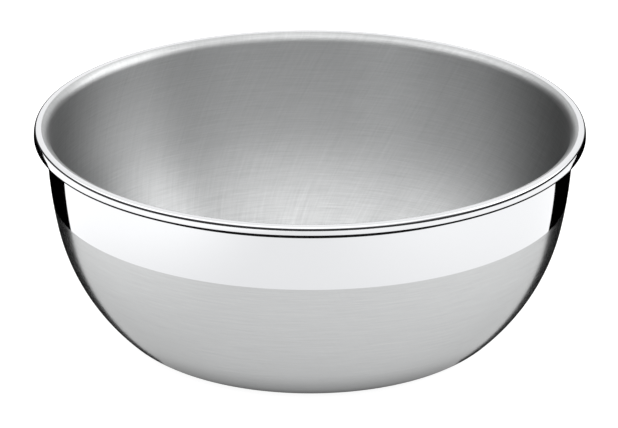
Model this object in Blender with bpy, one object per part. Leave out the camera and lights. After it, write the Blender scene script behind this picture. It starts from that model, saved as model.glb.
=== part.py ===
"""Shaving bowl: one seamless piece of stainless steel sheet, drawn to a bowl, its rim curled outwards into a hollow bead.

Metres, +Z up. The origin is the middle of the flat base's underside, and the mouth opens upwards.
"""

from math import asin, cos, pi, radians, sin

import bpy

MM = 0.001

# Overall size, and the sheet it is drawn from
RIM_DIAMETER = 120.0 * MM
HEIGHT = 48.3 * MM
SHEET = 0.6 * MM

# Wall, from the flat base up: a tight corner, the side, and an upper wall that stands nearly upright at the mouth.
# Radii are those of the outer face. Each slope is where that stretch ends, above the horizontal.
CORNER_RADIUS = 13.4 * MM
CORNER_SLOPE = radians(43.0)
SIDE_SLOPE = radians(77.6)
UPPER_RADIUS = 95.0 * MM
MOUTH_SLOPE = radians(89.5)

# Rim: the wall flares outwards over the crest, then curls round and back under. Radii are those of the outer skin.
# The flare is wider than the bead by one sheet, so that the curl comes round to the wall's own outer face.
BEAD_RADIUS = 1.4 * MM
FLARE_RADIUS = BEAD_RADIUS + SHEET
CURL_GAP = 0.15 * MM

# Facets
TURNS = 72
WALL_STEP = radians(5.0)
RIM_STEP = radians(22.5)

STEEL_COLOUR = (0.70, 0.70, 0.69, 1.0)
STEEL_ROUGHNESS = 0.32


def clear_scene():
    for obj in list(bpy.data.objects):
        bpy.data.objects.remove(obj)


def wall_sizes():
    """(flat base's radius, side's radius): what the other sizes leave for them between the base and the mouth."""
    mouth_radius = RIM_DIAMETER / 2 - BEAD_RADIUS - BEAD_RADIUS * sin(MOUTH_SLOPE)
    mouth_height = HEIGHT - FLARE_RADIUS + BEAD_RADIUS * cos(MOUTH_SLOPE)
    corner_height = CORNER_RADIUS * (1 - cos(CORNER_SLOPE))
    upper_height = UPPER_RADIUS * (cos(SIDE_SLOPE) - cos(MOUTH_SLOPE))
    side_height = mouth_height - corner_height - upper_height
    side_radius = side_height / (cos(CORNER_SLOPE) - cos(SIDE_SLOPE))
    base_radius = mouth_radius - CORNER_RADIUS * sin(CORNER_SLOPE)
    base_radius -= side_radius * (sin(SIDE_SLOPE) - sin(CORNER_SLOPE))
    base_radius -= UPPER_RADIUS * (sin(MOUTH_SLOPE) - sin(SIDE_SLOPE))
    return base_radius, side_radius


def curl_slope():
    """Slope at the curl's raw edge, which stops CURL_GAP short of the wall and leaves the bead's hollow open."""
    return -pi - asin(1 - CURL_GAP / BEAD_RADIUS)


def add_arc(line, radius, end_slope, step):
    """Carries line, a list of (r, z, slope), along a tangent arc, turning up or down until it has end_slope."""
    r, z, slope = line[-1]
    side = 1 if end_slope > slope else -1
    steps = max(1, round(abs(end_slope - slope) / step))
    for i in range(1, steps + 1):
        now = slope + (end_slope - slope) * i / steps
        r_now = r + side * radius * (sin(now) - sin(slope))
        z_now = z + side * radius * (cos(slope) - cos(now))
        line.append((r_now, z_now, now))


def inner_face():
    """The sheet's inner face, from the middle of the floor up the wall, over the rim and round to the raw edge."""
    base_radius, side_radius = wall_sizes()
    line = [(0.0, SHEET, 0.0), (base_radius, SHEET, 0.0)]
    add_arc(line, CORNER_RADIUS - SHEET, CORNER_SLOPE, WALL_STEP)
    add_arc(line, side_radius - SHEET, SIDE_SLOPE, WALL_STEP)
    add_arc(line, UPPER_RADIUS - SHEET, MOUTH_SLOPE, WALL_STEP)
    add_arc(line, FLARE_RADIUS, 0.0, RIM_STEP)
    add_arc(line, BEAD_RADIUS, curl_slope(), RIM_STEP)
    return line


def steel():
    material = bpy.data.materials.new("stainless_steel")
    material.use_nodes = True
    surface = material.node_tree.nodes["Principled BSDF"]
    surface.inputs["Base Color"].default_value = STEEL_COLOUR
    surface.inputs["Metallic"].default_value = 1.0
    surface.inputs["Roughness"].default_value = STEEL_ROUGHNESS
    return material


def make_bowl():
    """The sheet's section, both faces and the raw edge, turned once round the Z axis."""
    inner = inner_face()
    outer = [(r + SHEET * sin(slope), z - SHEET * cos(slope), slope) for r, z, slope in inner]
    section = [(r, 0.0, z) for r, z, _ in inner + outer[::-1]]
    mesh = bpy.data.meshes.new("bowl")
    mesh.from_pydata(section, [(i, i + 1) for i in range(len(section) - 1)], [])
    mesh.materials.append(steel())
    bowl = bpy.data.objects.new("bowl", mesh)
    bpy.context.scene.collection.objects.link(bowl)

    turn = bowl.modifiers.new("turn", "SCREW")
    turn.steps = TURNS
    turn.render_steps = TURNS
    turn.use_merge_vertices = True
    turn.merge_threshold = 0.001 * MM
    turn.use_smooth_shade = True


clear_scene()
make_bowl()
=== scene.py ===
"""The looks of the shaving bowl: satin steel inside, a polished rolled rim, a mirror band below it and a satin body."""

from math import asin, cos, hypot, pi, radians, sin

import bpy
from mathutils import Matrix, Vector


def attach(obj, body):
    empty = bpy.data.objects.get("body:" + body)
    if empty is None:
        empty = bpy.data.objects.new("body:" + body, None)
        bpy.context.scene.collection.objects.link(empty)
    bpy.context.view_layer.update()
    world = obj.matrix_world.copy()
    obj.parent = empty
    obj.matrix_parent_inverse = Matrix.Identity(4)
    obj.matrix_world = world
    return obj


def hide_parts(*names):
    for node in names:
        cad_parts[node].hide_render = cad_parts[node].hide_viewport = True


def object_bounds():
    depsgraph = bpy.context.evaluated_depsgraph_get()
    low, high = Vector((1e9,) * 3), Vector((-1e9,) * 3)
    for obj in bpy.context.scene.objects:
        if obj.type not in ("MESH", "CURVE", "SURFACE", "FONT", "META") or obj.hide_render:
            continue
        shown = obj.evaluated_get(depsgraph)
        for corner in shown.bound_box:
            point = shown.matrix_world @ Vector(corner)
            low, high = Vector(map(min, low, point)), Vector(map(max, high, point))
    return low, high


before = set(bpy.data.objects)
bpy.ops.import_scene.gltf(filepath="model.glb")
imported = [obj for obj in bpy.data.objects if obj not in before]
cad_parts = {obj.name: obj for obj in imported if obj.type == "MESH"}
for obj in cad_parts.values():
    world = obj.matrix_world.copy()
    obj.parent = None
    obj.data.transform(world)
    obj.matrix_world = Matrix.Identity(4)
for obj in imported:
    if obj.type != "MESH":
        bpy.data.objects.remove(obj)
cad_low, cad_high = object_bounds()

MM = 0.001

# ---- Sizes of the bowl, the overall ones from the frame ----------------------------------------------------------

RIM_RADIUS = cad_high[0]
HEIGHT = cad_high[2]
SHEET = 0.6 * MM
CORNER_RADIUS = 13.4 * MM
CORNER_SLOPE = radians(43.0)
SIDE_SLOPE = radians(77.6)
UPPER_RADIUS = 95.0 * MM
MOUTH_SLOPE = radians(89.5)
BEAD_RADIUS = 1.4 * MM
FLARE_RADIUS = BEAD_RADIUS + SHEET

# The roller presses the bead's outer face flatter than a round curl: corner, face and corner again
CREST_CORNER = 0.65 * MM
FACE_RADIUS = 2.45 * MM
FACE_TOP_SLOPE = radians(-70.0)
FACE_MIDDLE_SLOPE = radians(-85.0)
LOWER_FACE_RADIUS = 7.63 * MM
FACE_FOOT_SLOPE = radians(-91.0)
LOWER_CORNER = 0.70 * MM
UNDER_FLAT = 1.88 * MM

# Where one finish meets the next: the mirror band's foot and top, and how steep the rim's polish starts.
# The wall from the band's top up into the bead gets the near-black painted shade of the dark line beneath the bead.
BAND_FOOT = 32.5 * MM
BAND_TOP = 44.7 * MM
RIM_POLISH_SLOPE = radians(7.0)

# The light tent's cloth, and the lamps behind it as (azimuth, elevation, core, reach in degrees, strength)
TENT_LEVEL = 1.35
LAMPS = [(0.0, 50.0, 12.0, 60.0, 0.7), (104.0, 31.0, 6.0, 36.0, 1.8), (-98.0, 34.0, 6.0, 42.0, 0.9)]

# Low in the front the cloth is dimmer: by how much, and over which elevations and how far round
FRONT_DIP = -0.9
DIP_LOW, DIP_HIGH = sin(radians(22.0)), sin(radians(50.0))
DIP_FRONT, DIP_BACK = -0.6, -0.1

# The cloth ends at this height of a unit direction, over a soft edge. Its end tilts with X and is lower at the back.
GAP_TOP = 0.36
GAP_EDGE = 0.02
GAP_TILT = 0.13
GAP_LIGHT = 0.06
REAR_START, REAR_END, REAR_DROP = 0.75, 0.9, 0.18

# The table's edges in metres, and how bright its acrylic looks: to the camera, and in the steel from the foot outward,
# where its glow carries a painted shadow beneath the bowl and painted light that is brighter to either side
TABLE_FRONT, TABLE_LEFT, TABLE_RIGHT = -0.8, -1.2, 0.42
CAMERA_LEVEL = 0.93
STEEL_LEVEL = 0.95
MIDDLE_LEVEL = 0.91
LEFT_GAIN, RIGHT_GAIN = 0.34, 0.18
# Painted shadow beneath the bowl: from the foot's radius out to where it has faded
STAND_RADIUS, CLEAR_RADIUS = 33.0 * MM, 46.0 * MM

# The unlit patch behind the bowl: its right edge near the bowl, then the angle from +Y at which that edge runs out
REAR_EDGE = [(34.0 * MM, -22.0 * MM), (119.8 * MM, 54.2 * MM)]
REAR_ANGLE = radians(40.4)
ROOM_REACH = 3.9
ROOM_LIFT = 0.05 * MM
FLOOR_REACH = 4.0

TURNS = 288
WALL_STEP = radians(1.5)
RIM_STEP = radians(6.0)

FINISHES = ("satin_inside", "polished_rim", "crevice_painted_shade", "mirror_band", "satin_outside", "satin_base")


# ---- The sheet's section -----------------------------------------------------------------------------------------


def wall_sizes():
    """(flat base's radius, side's radius), which close the wall between the base and the mouth."""
    mouth_radius = RIM_RADIUS - BEAD_RADIUS - BEAD_RADIUS * sin(MOUTH_SLOPE)
    mouth_height = HEIGHT - FLARE_RADIUS + BEAD_RADIUS * cos(MOUTH_SLOPE)
    corner_height = CORNER_RADIUS * (1 - cos(CORNER_SLOPE))
    upper_height = UPPER_RADIUS * (cos(SIDE_SLOPE) - cos(MOUTH_SLOPE))
    side_height = mouth_height - corner_height - upper_height
    side_radius = side_height / (cos(CORNER_SLOPE) - cos(SIDE_SLOPE))
    base_radius = mouth_radius - CORNER_RADIUS * sin(CORNER_SLOPE)
    base_radius -= side_radius * (sin(SIDE_SLOPE) - sin(CORNER_SLOPE))
    base_radius -= UPPER_RADIUS * (sin(MOUTH_SLOPE) - sin(SIDE_SLOPE))
    return base_radius, side_radius


def add_arc(line, radius, end_slope, step, finish):
    """Carries line, a list of (radius, height, slope, finish), along a tangent arc until it has end_slope."""
    r, z, slope, _ = line[-1]
    side = 1 if end_slope > slope else -1
    steps = max(1, round(abs(end_slope - slope) / step))
    for i in range(1, steps + 1):
        now = slope + (end_slope - slope) * i / steps
        r_now = r + side * radius * (sin(now) - sin(slope))
        z_now = z + side * radius * (cos(slope) - cos(now))
        line.append((r_now, z_now, now, finish))


def add_flat(line, length, finish):
    """Carries line straight on."""
    r, z, slope, _ = line[-1]
    line.append((r + length * cos(slope), z + length * sin(slope), slope, finish))


def slope_at(height):
    """Slope of the upper wall where its outer face is this high."""
    base_radius, side_radius = wall_sizes()
    foot = CORNER_RADIUS * (1 - cos(CORNER_SLOPE)) + side_radius * (cos(CORNER_SLOPE) - cos(SIDE_SLOPE))
    return pi / 2 - asin(cos(SIDE_SLOPE) - (height - foot) / UPPER_RADIUS)


def crest_flat():
    """Length of the bead's flat top, which leaves the face below it just reaching the rim's radius."""
    corner = CREST_CORNER * sin(-FACE_TOP_SLOPE)
    face = FACE_RADIUS * (sin(-FACE_MIDDLE_SLOPE) - sin(-FACE_TOP_SLOPE))
    lower_face = LOWER_FACE_RADIUS * (1 - sin(-FACE_MIDDLE_SLOPE))
    return BEAD_RADIUS - corner - face - lower_face


def inner_face():
    """From the middle of the floor up the wall, over the rim and round the bead to the curl's raw edge."""
    base_radius, side_radius = wall_sizes()
    line = [(0.0, SHEET, 0.0, "satin_inside")]
    line += [(base_radius * i / 12, SHEET, 0.0, "satin_inside") for i in range(1, 13)]
    add_arc(line, CORNER_RADIUS - SHEET, CORNER_SLOPE, WALL_STEP, "satin_inside")
    add_arc(line, side_radius - SHEET, SIDE_SLOPE, WALL_STEP, "satin_inside")
    add_arc(line, UPPER_RADIUS - SHEET, MOUTH_SLOPE, WALL_STEP, "satin_inside")
    add_arc(line, FLARE_RADIUS, RIM_POLISH_SLOPE, RIM_STEP, "satin_inside")
    add_arc(line, FLARE_RADIUS, 0.0, RIM_STEP, "polished_rim")
    add_flat(line, crest_flat(), "polished_rim")
    add_arc(line, CREST_CORNER, FACE_TOP_SLOPE, RIM_STEP, "polished_rim")
    add_arc(line, FACE_RADIUS, FACE_MIDDLE_SLOPE, RIM_STEP / 3, "polished_rim")
    add_arc(line, LOWER_FACE_RADIUS, FACE_FOOT_SLOPE, RIM_STEP / 3, "polished_rim")
    # The bead's lower corner and its underside: near-black painted shade for the dark line beneath the bead
    add_arc(line, LOWER_CORNER, -pi, RIM_STEP, "crevice_painted_shade")
    add_flat(line, UNDER_FLAT, "crevice_painted_shade")
    return line


def outer_wall():
    """The outer face from the middle of the base up to where the wall turns out into the bead."""
    base_radius, side_radius = wall_sizes()
    line = [(0.0, 0.0, 0.0, "satin_base")]
    line += [(base_radius * i / 12, 0.0, 0.0, "satin_base") for i in range(1, 13)]
    add_arc(line, CORNER_RADIUS, CORNER_SLOPE, WALL_STEP, "satin_outside")
    add_arc(line, side_radius, SIDE_SLOPE, WALL_STEP, "satin_outside")
    add_arc(line, UPPER_RADIUS, slope_at(BAND_FOOT), WALL_STEP, "satin_outside")
    add_arc(line, UPPER_RADIUS, slope_at(BAND_TOP), WALL_STEP, "mirror_band")
    # The top of the wall into the bead: near-black painted shade
    add_arc(line, UPPER_RADIUS, MOUTH_SLOPE, WALL_STEP, "crevice_painted_shade")
    return line


def hollow_of_bead(inner):
    """The inside of the curl, one sheet's thickness in from the rim's skin, from the raw edge back to the wall."""
    mouth = max(range(len(inner)), key=lambda k: inner[k][2])
    rim = inner[mouth + 1 :]
    # The inside of the curl: near-black painted shade as well
    return [(r + SHEET * sin(slope), z - SHEET * cos(slope), slope, "crevice_painted_shade") for r, z, slope, _ in rim[::-1]]


def section():
    """The whole outline as (radius, height, finish of the stretch that ends there)."""
    inner = inner_face()
    outer = outer_wall()[::-1]
    points = [(r, z, finish) for r, z, _, finish in inner + hollow_of_bead(inner)]
    points.append((outer[0][0], outer[0][1], "crevice_painted_shade"))
    points += [(r, z, before[3]) for (r, z, _, _), before in zip(outer[1:], outer)]
    return points


# ---- The mesh ----------------------------------------------------------------------------------------------------


def turned_piece(name, outline, finishes):
    """outline turned once round the axis, each stretch with its finish's material, and a map of it laid out flat."""
    lengths = [0.0]
    for (r0, z0, _), (r1, z1, _) in zip(outline, outline[1:]):
        lengths.append(lengths[-1] + hypot(r1 - r0, z1 - z0))
    total = lengths[-1]

    vertices = []
    rings = []
    for r, z, _ in outline:
        if r < 1e-7:
            rings.append([len(vertices)] * TURNS)
            vertices.append((0.0, 0.0, z))
            continue
        rings.append([len(vertices) + i for i in range(TURNS)])
        vertices += [(r * cos(2 * pi * i / TURNS), r * sin(2 * pi * i / TURNS), z) for i in range(TURNS)]

    faces = []
    places = []
    slots = []
    for k in range(len(outline) - 1):
        v0, v1 = lengths[k] / total, lengths[k + 1] / total
        slot = FINISHES.index(outline[k + 1][2])
        for i in range(TURNS):
            j = (i + 1) % TURNS
            u0, u1 = i / TURNS, (i + 1) / TURNS
            low, high = rings[k], rings[k + 1]
            corners = [(low[i], u0, v0), (low[j], u1, v0), (high[j], u1, v1), (high[i], u0, v1)]
            if corners[0][0] == corners[1][0]:
                corners = corners[1:]
            elif corners[2][0] == corners[3][0]:
                corners = corners[:3]
            faces.append([c[0] for c in corners])
            places += [(c[1], c[2]) for c in corners]
            slots.append(slot)

    mesh = bpy.data.meshes.new(name)
    mesh.from_pydata(vertices, [], faces)
    flat = mesh.uv_layers.new(name="OFBake")
    flat.data.foreach_set("uv", [x for place in places for x in place])
    for finish in FINISHES:
        mesh.materials.append(finishes[finish])
    mesh.polygons.foreach_set("material_index", slots)
    mesh.shade_smooth()
    mesh.set_sharp_from_angle(angle=radians(50))
    piece = bpy.data.objects.new(name, mesh)
    bpy.context.scene.collection.objects.link(piece)
    return piece


# ---- Nodes -------------------------------------------------------------------------------------------------------


def node(tree, kind, inputs=None, **settings):
    """A new node with its settings. inputs gives each socket a constant, or another socket to link from."""
    made = tree.nodes.new(kind)
    for key, value in settings.items():
        setattr(made, key, value)
    for key, value in (inputs or {}).items():
        socket = made.inputs[key]
        if isinstance(value, bpy.types.NodeSocket):
            tree.links.new(value, socket)
        else:
            socket.default_value = value
    return made


def maths(tree, operation, *values):
    """The result of a Math node."""
    return node(tree, "ShaderNodeMath", dict(enumerate(values)), operation=operation).outputs[0]


def ramp(tree, value, low, high, out_low, out_high, smooth=True):
    """value carried from low..high to out_low..out_high, and held at the ends."""
    kind = "SMOOTHSTEP" if smooth else "LINEAR"
    inputs = {"Value": value, "From Min": low, "From Max": high, "To Min": out_low, "To Max": out_high}
    return node(tree, "ShaderNodeMapRange", inputs, interpolation_type=kind).outputs["Result"]


def new_group(name, inputs, outputs):
    """A shader node group with named sockets: (tree, its inputs by name, its output node's sockets by name)."""
    tree = bpy.data.node_groups.new(name, "ShaderNodeTree")
    for label, kind, value in inputs:
        socket = tree.interface.new_socket(label, in_out="INPUT", socket_type=kind)
        if value is not None:
            socket.default_value = value
    for label in outputs:
        tree.interface.new_socket(label, in_out="OUTPUT", socket_type="NodeSocketFloat")
    start = tree.nodes.new("NodeGroupInput")
    end = tree.nodes.new("NodeGroupOutput")
    return tree, start.outputs, end.inputs


def brush_strokes():
    """Fine strokes that run round the bowl, up its wall or aslant, by how many fall in a radian and in a metre."""
    tree, given, result = new_group(
        "brush strokes",
        [
            ("Vector", "NodeSocketVector", None),
            ("Around", "NodeSocketFloat", 8.0),
            ("Up", "NodeSocketFloat", 3000.0),
            ("Lean", "NodeSocketFloat", 0.0),
        ],
        ["Strokes"],
    )
    place = node(tree, "ShaderNodeSeparateXYZ", {"Vector": given["Vector"]}).outputs
    angle = maths(tree, "ARCTAN2", place["Y"], place["X"])
    leant = maths(tree, "MULTIPLY_ADD", place["Z"], given["Lean"], angle)
    square = maths(tree, "MULTIPLY", place["Y"], place["Y"])
    radius = maths(tree, "SQRT", maths(tree, "MULTIPLY_ADD", place["X"], place["X"], square))
    spot = node(
        tree,
        "ShaderNodeCombineXYZ",
        {
            "X": maths(tree, "MULTIPLY", maths(tree, "COSINE", leant), given["Around"]),
            "Y": maths(tree, "MULTIPLY", maths(tree, "SINE", leant), given["Around"]),
            "Z": maths(tree, "MULTIPLY", radius, given["Up"]),
        },
    ).outputs[0]
    level = maths(tree, "MULTIPLY", place["Z"], given["Up"])
    inputs = {"Vector": spot, "W": level, "Scale": 1.0, "Detail": 2.0, "Roughness": 0.6}
    noise = node(tree, "ShaderNodeTexNoise", inputs, noise_dimensions="4D")
    tree.links.new(noise.outputs["Fac"], result["Strokes"])
    return tree


def use(tree, group, inputs):
    """The outputs of a group node, with the inputs named as on the group."""
    made = node(tree, "ShaderNodeGroup", node_tree=group)
    for key, value in inputs.items():
        if isinstance(value, bpy.types.NodeSocket):
            tree.links.new(value, made.inputs[key])
        else:
            made.inputs[key].default_value = value
    return made.outputs


def new_material(name):
    """(material, its node tree, its Principled surface, the object coordinates)."""
    material = bpy.data.materials.new(name)
    material.use_nodes = True
    tree = material.node_tree
    surface = tree.nodes["Principled BSDF"]
    surface.inputs["Metallic"].default_value = 1.0
    place = tree.nodes.new("ShaderNodeTexCoord").outputs["Object"]
    return material, tree, surface, place


def satin_steel(name, strokes, colour, roughness, anisotropy, grain, cross, contrast, bump, edge):
    """Brushed steel. grain is how much the strokes round the bowl show, cross how much the rubbed ones do, and edge
    how bright the steel stays where it is seen edge on."""
    material, tree, surface, place = new_material(name)
    around = use(tree, strokes, {"Vector": place, "Around": 7.0, "Up": 4200.0})["Strokes"]
    leaning = use(tree, strokes, {"Vector": place, "Around": 110.0, "Up": 120.0, "Lean": 9.0})["Strokes"]
    mixed = maths(tree, "ADD", maths(tree, "MULTIPLY", around, grain), maths(tree, "MULTIPLY", leaning, cross))
    level = (grain + cross) / 2
    shade = ramp(tree, mixed, level - 0.25, level + 0.25, 1.0 - contrast, 1.0 + contrast, smooth=False)
    colours = node(tree, "ShaderNodeVectorMath", {0: colour, "Scale": shade}, operation="SCALE").outputs["Vector"]
    tree.links.new(colours, surface.inputs["Base Color"])
    rough = ramp(tree, mixed, level - 0.25, level + 0.25, roughness + 0.05, roughness - 0.05, smooth=False)
    tree.links.new(rough, surface.inputs["Roughness"])
    surface.inputs["Specular Tint"].default_value = (edge, edge, edge, 1.0)
    surface.inputs["Anisotropic"].default_value = anisotropy
    surface.inputs["Anisotropic Rotation"].default_value = 0.25
    tangent = node(tree, "ShaderNodeTangent", direction_type="RADIAL", axis="Z").outputs["Tangent"]
    tree.links.new(tangent, surface.inputs["Tangent"])
    height = node(tree, "ShaderNodeBump", {"Strength": bump, "Distance": 0.00005, "Height": mixed}).outputs["Normal"]
    tree.links.new(height, surface.inputs["Normal"])
    return material


def mirror_steel(name, strokes, colour, roughness):
    """Steel buffed bright, with a trace of the lines that the buffing wheel leaves."""
    material, tree, surface, place = new_material(name)
    lines = use(tree, strokes, {"Vector": place, "Around": 5.0, "Up": 1500.0})["Strokes"]
    surface.inputs["Base Color"].default_value = (*colour, 1.0)
    tree.links.new(ramp(tree, lines, 0.35, 0.7, roughness, roughness + 0.03), surface.inputs["Roughness"])
    return material


def near_black_painted_shade(name, strokes, colour, roughness):
    """Near-black painted shade on steel with no shine, for the dark line beneath the bead and inside the curl."""
    material, tree, surface, place = new_material(name)
    lines = use(tree, strokes, {"Vector": place, "Around": 5.0, "Up": 1500.0})["Strokes"]
    surface.inputs["Metallic"].default_value = 0.0
    surface.inputs["IOR"].default_value = 1.0
    surface.inputs["Specular IOR Level"].default_value = 0.0
    surface.inputs["Base Color"].default_value = (*colour, 1.0)
    tree.links.new(ramp(tree, lines, 0.3, 0.7, roughness - 0.08, roughness + 0.08), surface.inputs["Roughness"])
    return material


def bowl_finishes():
    """Each finish's material by name."""
    strokes = brush_strokes()
    polish = (0.595, 0.600, 0.612)
    satins = [
        # name, colour, roughness, anisotropy, grain, cross, contrast, bump, edge
        ("satin_inside", (0.480, 0.485, 0.487), 0.38, 0.9, 0.6, 0.4, 0.13, 0.1, 0.6),
        ("satin_outside", (0.436, 0.441, 0.443), 0.19, 0.3, 0.8, 0.2, 0.05, 0.03, 0.72),
        ("satin_base", (0.445, 0.450, 0.450), 0.38, 0.9, 0.8, 0.2, 0.06, 0.05, 0.5),
    ]
    finishes = {name: satin_steel(name, strokes, *looks) for name, *looks in satins}
    finishes["polished_rim"] = mirror_steel("polished_rim", strokes, polish, 0.04)
    finishes["mirror_band"] = mirror_steel("mirror_band", strokes, polish, 0.02)
    # Near-black painted shade, standing in for the dark line beneath the bead
    finishes["crevice_painted_shade"] = near_black_painted_shade("crevice_painted_shade", strokes, (0.006, 0.006, 0.006), 0.6)
    return finishes


# ---- The studio --------------------------------------------------------------------------------------------------


def compass(azimuth, elevation):
    """The direction at so many degrees round from the front, rightward, and so many up."""
    level = cos(radians(elevation))
    return (level * sin(radians(azimuth)), -level * cos(radians(azimuth)), sin(radians(elevation)))


def soft_lamp(tree, way, azimuth, elevation, core, reach, strength):
    """A round glow in the tent's cloth: full strength within core degrees of its middle, nothing beyond reach."""
    dot = node(tree, "ShaderNodeVectorMath", {0: way, 1: compass(azimuth, elevation)}, operation="DOT_PRODUCT")
    return ramp(tree, dot.outputs["Value"], cos(radians(reach)), cos(radians(core)), 0.0, strength)


def studio_light():
    """A white light tent, brighter where the lamps stand, whose cloth ends low down. The camera sees plain white."""
    world = bpy.data.worlds.new("light_tent")
    world.use_nodes = True
    tree = world.node_tree
    tree.nodes.clear()
    way = tree.nodes.new("ShaderNodeTexCoord").outputs["Generated"]
    part = node(tree, "ShaderNodeSeparateXYZ", {"Vector": way}).outputs
    tilted = maths(tree, "MULTIPLY_ADD", part["X"], GAP_TILT, part["Z"])
    tilted = maths(tree, "ADD", tilted, ramp(tree, part["Y"], REAR_START, REAR_END, 0.0, REAR_DROP))
    above = ramp(tree, tilted, GAP_TOP - GAP_EDGE, GAP_TOP + GAP_EDGE, 0.0, 1.0)
    low = ramp(tree, part["Z"], DIP_LOW, DIP_HIGH, 1.0, 0.0)
    ahead = ramp(tree, part["Y"], DIP_FRONT, DIP_BACK, 1.0, 0.0)
    glow = maths(tree, "MULTIPLY_ADD", maths(tree, "MULTIPLY", low, ahead), FRONT_DIP, TENT_LEVEL)
    for lamp in LAMPS:
        glow = maths(tree, "ADD", glow, soft_lamp(tree, way, *lamp))
    light = maths(tree, "MAXIMUM", maths(tree, "MULTIPLY", glow, above), GAP_LIGHT)
    seen = tree.nodes.new("ShaderNodeLightPath").outputs["Is Camera Ray"]
    strength = node(tree, "ShaderNodeMix", {"Factor": seen, "A": light, "B": 1.0}, data_type="FLOAT").outputs["Result"]
    shine = node(tree, "ShaderNodeBackground", {"Color": (1.0, 1.0, 1.0, 1.0), "Strength": strength})
    tree.links.new(shine.outputs[0], node(tree, "ShaderNodeOutputWorld").inputs["Surface"])
    bpy.context.scene.world = world


def flat_sheet(name, corners, faces, material):
    """A flat stage object that isn't part of the bowl."""
    mesh = bpy.data.meshes.new(name)
    mesh.from_pydata(corners, [], faces)
    mesh.materials.append(material)
    sheet = bpy.data.objects.new(name, mesh)
    bpy.context.scene.collection.objects.link(sheet)
    return sheet


def glowing_table_with_painted_shade():
    """White acrylic glowing as if lit from below. In the steel its glow carries a painted shadow beneath the bowl and
    painted light that is brighter out to either side.
    """
    material = bpy.data.materials.new("glowing_table_with_painted_shade")
    material.use_nodes = True
    tree = material.node_tree
    surface = tree.nodes["Principled BSDF"]
    surface.inputs["Base Color"].default_value = (0.3, 0.3, 0.3, 1.0)
    surface.inputs["Roughness"].default_value = 1.0
    surface.inputs["Specular IOR Level"].default_value = 0.0
    surface.inputs["Emission Color"].default_value = (1.0, 1.0, 1.0, 1.0)
    place = tree.nodes.new("ShaderNodeTexCoord").outputs["Object"]
    part = node(tree, "ShaderNodeSeparateXYZ", {"Vector": place}).outputs
    radius = node(tree, "ShaderNodeVectorMath", {0: place}, operation="LENGTH").outputs["Value"]
    # Painted shadow: the glow seen in the steel fades to nothing beneath the bowl
    painted_contact_shadow = ramp(tree, radius, STAND_RADIUS, CLEAR_RADIUS, 0.0, 1.0)
    # Painted light: the glow seen in the steel is brighter out to either side
    left = ramp(tree, part["X"], -30.0 * MM, -130.0 * MM, 0.0, LEFT_GAIN)
    right = ramp(tree, part["X"], -10.0 * MM, 130.0 * MM, 0.0, RIGHT_GAIN)
    shade = maths(tree, "ADD", maths(tree, "ADD", left, right), MIDDLE_LEVEL)
    seen = tree.nodes.new("ShaderNodeLightPath").outputs["Is Camera Ray"]
    mirrored = maths(tree, "MULTIPLY", painted_contact_shadow, maths(tree, "MULTIPLY", shade, STEEL_LEVEL))
    inputs = {"Factor": seen, "A": mirrored, "B": CAMERA_LEVEL}
    level = node(tree, "ShaderNodeMix", inputs, data_type="FLOAT").outputs["Result"]
    tree.links.new(level, surface.inputs["Emission Strength"])
    return material


def studio_floor():
    """The table that the bowl stands on."""
    size = FLOOR_REACH
    corners = [(-size, -size, 0), (size, -size, 0), (size, size, 0), (-size, size, 0)]
    return flat_sheet("studio_floor", corners, [(0, 1, 2, 3)], glowing_table_with_painted_shade())


def dark_room():
    """The unlit room past the table's edge and behind the bowl, seen only in the steel."""
    material = bpy.data.materials.new("dark_room")
    material.use_nodes = True
    surface = material.node_tree.nodes["Principled BSDF"]
    surface.inputs["Base Color"].default_value = (0.0, 0.0, 0.0, 1.0)
    surface.inputs["Specular IOR Level"].default_value = 0.0
    far = ROOM_REACH
    end_x, end_y = REAR_EDGE[-1]
    edge = [*REAR_EDGE, (end_x + far * sin(REAR_ANGLE), end_y + far * cos(REAR_ANGLE))]
    outlines = [
        [(-far, -far), (far, -far), (far, TABLE_FRONT), (-far, TABLE_FRONT)],
        [(-far, TABLE_FRONT), (TABLE_LEFT, TABLE_FRONT), (TABLE_LEFT, far), (-far, far)],
        [(TABLE_RIGHT, TABLE_FRONT), (far, TABLE_FRONT), (far, far), (TABLE_RIGHT, far)],
        edge + [(-x, y) for x, y in edge[::-1]],
    ]
    corners = []
    faces = []
    for outline in outlines:
        faces.append(range(len(corners), len(corners) + len(outline)))
        corners += [(x, y, ROOM_LIFT) for x, y in outline]
    room = flat_sheet("dark_room", corners, faces, material)
    room.visible_camera = False
    room.visible_diffuse = False
    room.visible_shadow = False
    return room


def photographer():
    """A long lens from well back, looking down at the bowl."""
    lens = bpy.data.cameras.new("camera")
    lens.sensor_width = 36.0
    lens.lens = 493.1
    lens.clip_end = 20.0
    camera = bpy.data.objects.new("camera", lens)
    camera.location = (-0.17 * MM, -1.7162, 0.7080)
    camera.rotation_euler = (radians(90.0 - 21.627), radians(-0.055), radians(0.022))
    bpy.context.scene.collection.objects.link(camera)
    bpy.context.scene.camera = camera


photographer()
studio_light()
studio_floor()
dark_room()
bpy.context.scene.view_settings.view_transform = "Standard"

bowl = turned_piece("steel_bowl", section(), bowl_finishes())
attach(bowl, "root")
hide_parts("bowl")
